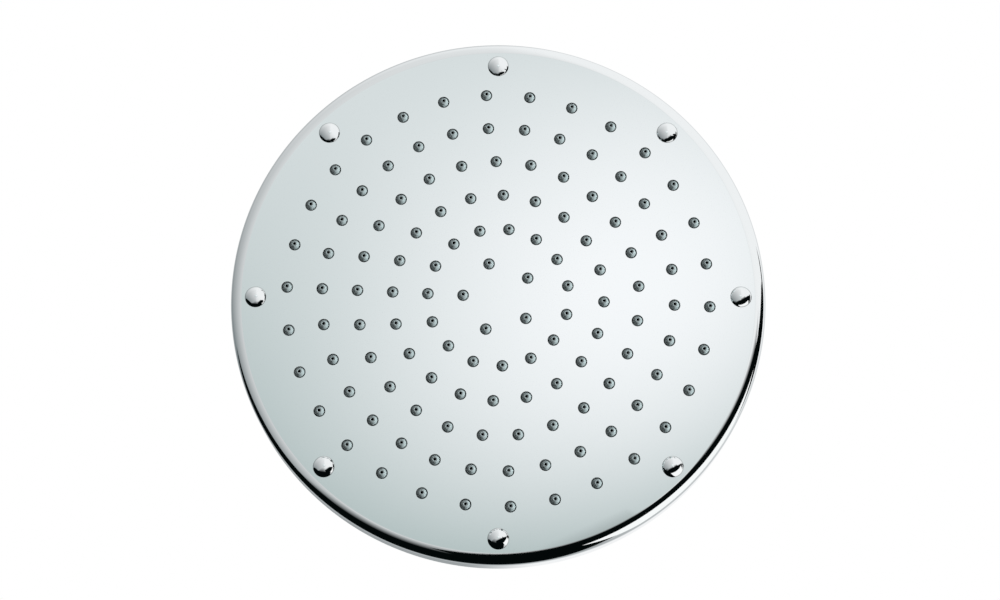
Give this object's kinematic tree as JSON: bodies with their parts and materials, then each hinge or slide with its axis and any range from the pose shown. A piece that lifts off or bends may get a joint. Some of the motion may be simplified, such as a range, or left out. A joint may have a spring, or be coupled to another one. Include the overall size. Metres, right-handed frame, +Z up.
{
  "type": "rain shower head",
  "caption": "Round chrome rain shower head with rings of rubber nozzles, domed rim screws, a shallow domed back and a ball-jointed threaded pipe inlet.",
  "frame": {"origin": "centre of the mouth of the inlet's thread, where the supply pipe screws in", "axes": "+Z up along the inlet, towards the pipe; the spray face looks along -Z; a screw lies on +X and on +Y"},
  "size_m": [0.25, 0.25, 0.0761],
  "materials": {
    "chrome": "polished chrome on brass",
    "plated_shell": "chrome-plated moulded plastic",
    "nozzle_rubber": "soft grey silicone, slight gloss",
    "brass": "turned",
    "black_rubber": "matt",
    "steel": "stainless",
    "white_plastic": "acetal, smooth",
    "green_plastic": "moulded, smooth"
  },
  "bodies": {
    "inlet": {"ball_connector": "chrome", "regulator_body": "green_plastic", "regulator_ring": "black_rubber", "filter_screen": "steel", "inlet_washer": "black_rubber"},
    "slip_ring": {"friction_ring": "white_plastic"},
    "seal": {"ball_seal": "black_rubber"},
    "head": {"face_pan": "chrome", "nozzle_mat": "nozzle_rubber", "back_shell": "plated_shell", "dome_screws": "chrome", "screw_inserts": "brass", "hub_body": "chrome", "hub_gasket": "black_rubber", "hub_washer": "steel", "hub_nut": "brass", "collar_nut": "chrome"}
  },
  "joints": [
    {"name": "tilt_x", "type": "hinge", "parent": "inlet", "child": "slip_ring", "pos_m": [0, 0, -0.03456], "axis": [1, 0, 0], "range_deg": [-12, 12]},
    {"name": "tilt_y", "type": "hinge", "parent": "slip_ring", "child": "seal", "pos_m": [0, 0, -0.03456], "axis": [0, 1, 0], "range_deg": [-12, 12]},
    {"name": "spin", "type": "hinge", "parent": "seal", "child": "head", "pos_m": [0, 0, -0.03456], "axis": [0, 0, 1], "continuous": true}
  ]
}
